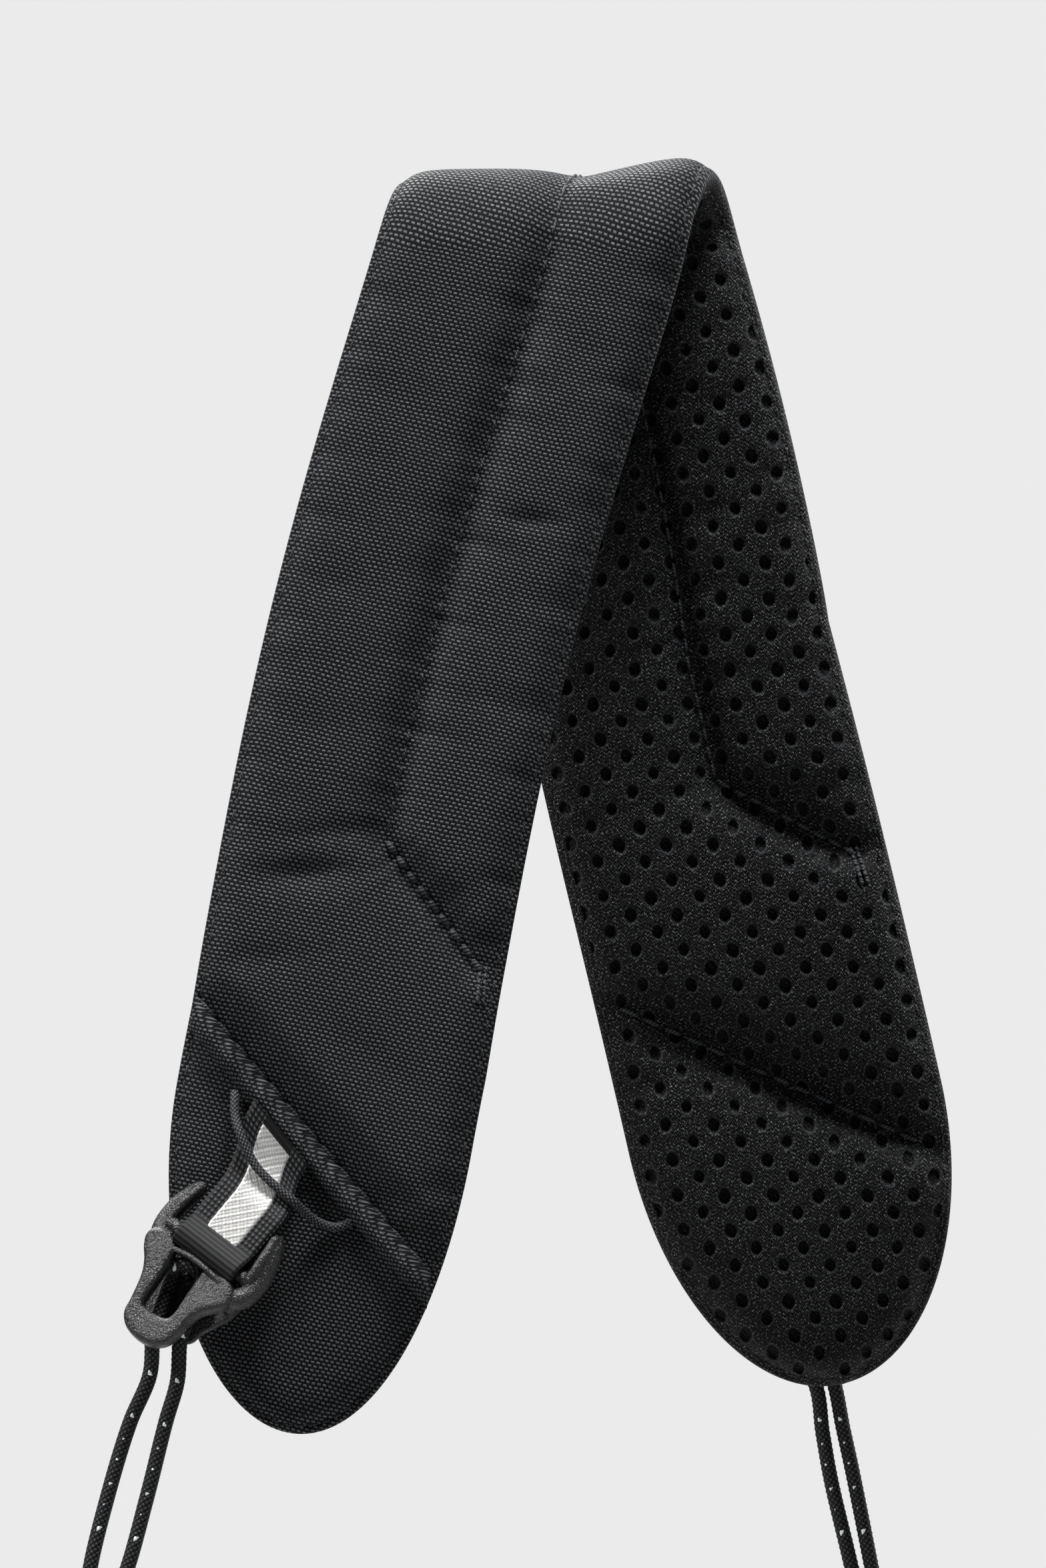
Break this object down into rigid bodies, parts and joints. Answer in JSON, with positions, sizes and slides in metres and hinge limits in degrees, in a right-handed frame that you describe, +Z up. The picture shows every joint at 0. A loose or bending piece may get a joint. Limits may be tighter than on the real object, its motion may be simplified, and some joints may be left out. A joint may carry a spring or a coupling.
{
  "type": "padded shoulder strap",
  "caption": "Padded fabric shoulder strap folded over its middle, with a mesh lining, a webbing tab and moulded hook at each end, and a doubled cord hanging from each hook.",
  "frame": {"origin": "underside of the fold's crest, where the strap rests on the shoulder or rail that carries it", "axes": "+Z up, -Y towards the front limb, X across the fold"},
  "size_m": [0.1704, 0.0796, 0.2902],
  "materials": {
    "woven_face": "near-black plain-woven nylon, slight sheen",
    "mesh_lining": "perforated knitted spacer mesh",
    "foam": "closed-cell foam sheet, hidden",
    "thread": "bonded polyester thread",
    "webbing": "ribbed narrow webbing",
    "reflective_tape": "glass-bead reflective tape, woven surface",
    "elastic": "braided elastic cord",
    "hook_plastic": "grained graphite-grey moulding",
    "cord": "braided cord with pale flecks"
  },
  "bodies": {
    "pad": {"lining_mesh": "mesh_lining", "foam_core": "foam", "edge_seam_allowance": "woven_face", "face_panel": "woven_face", "centre_seam_stitching": "thread", "front_end_cap": "woven_face", "front_bartack": "thread", "front_hem": "woven_face", "front_hem_stitching": "thread", "front_webbing_tab": "webbing", "front_webbing_anchor": "webbing", "front_reflective_stripe": "reflective_tape", "front_keeper_loop": "elastic", "rear_end_cap": "woven_face", "rear_bartack": "thread", "rear_hem": "woven_face", "rear_hem_stitching": "thread", "rear_webbing_tab": "webbing", "rear_webbing_anchor": "webbing", "rear_reflective_stripe": "reflective_tape", "rear_keeper_loop": "elastic"},
    "front_hook": {"front_hook": "hook_plastic"},
    "front_cord": {"front_cord_bight": "cord", "front_cord_left": "cord", "front_cord_right": "cord", "front_cord_knot": "cord"},
    "rear_hook": {"rear_hook": "hook_plastic"},
    "rear_cord": {"rear_cord_bight": "cord", "rear_cord_left": "cord", "rear_cord_right": "cord", "rear_cord_knot": "cord"}
  },
  "joints": [
    {"name": "front_hook_tilt", "type": "hinge", "parent": "pad", "child": "front_hook", "pos_m": [-0.06418, -0.03347, -0.19923], "axis": [-0.7525, 0.339, 0.5646], "range_deg": [0, 10]},
    {"name": "front_cord_swing", "type": "hinge", "parent": "front_hook", "child": "front_cord", "pos_m": [-0.06856, -0.03027, -0.2038], "axis": [-0.1792, -0.9304, 0.3198], "range_deg": [-8, 6]},
    {"name": "rear_hook_tilt", "type": "hinge", "parent": "pad", "child": "rear_hook", "pos_m": [0.04955, 0.03407, -0.20125], "axis": [0.9357, 0.3175, -0.1537], "range_deg": [0, 10]},
    {"name": "rear_cord_swing", "type": "hinge", "parent": "rear_hook", "child": "rear_cord", "pos_m": [0.04769, 0.03095, -0.20734], "axis": [0.2837, -0.9363, -0.2071], "range_deg": [-8, 6]}
  ]
}
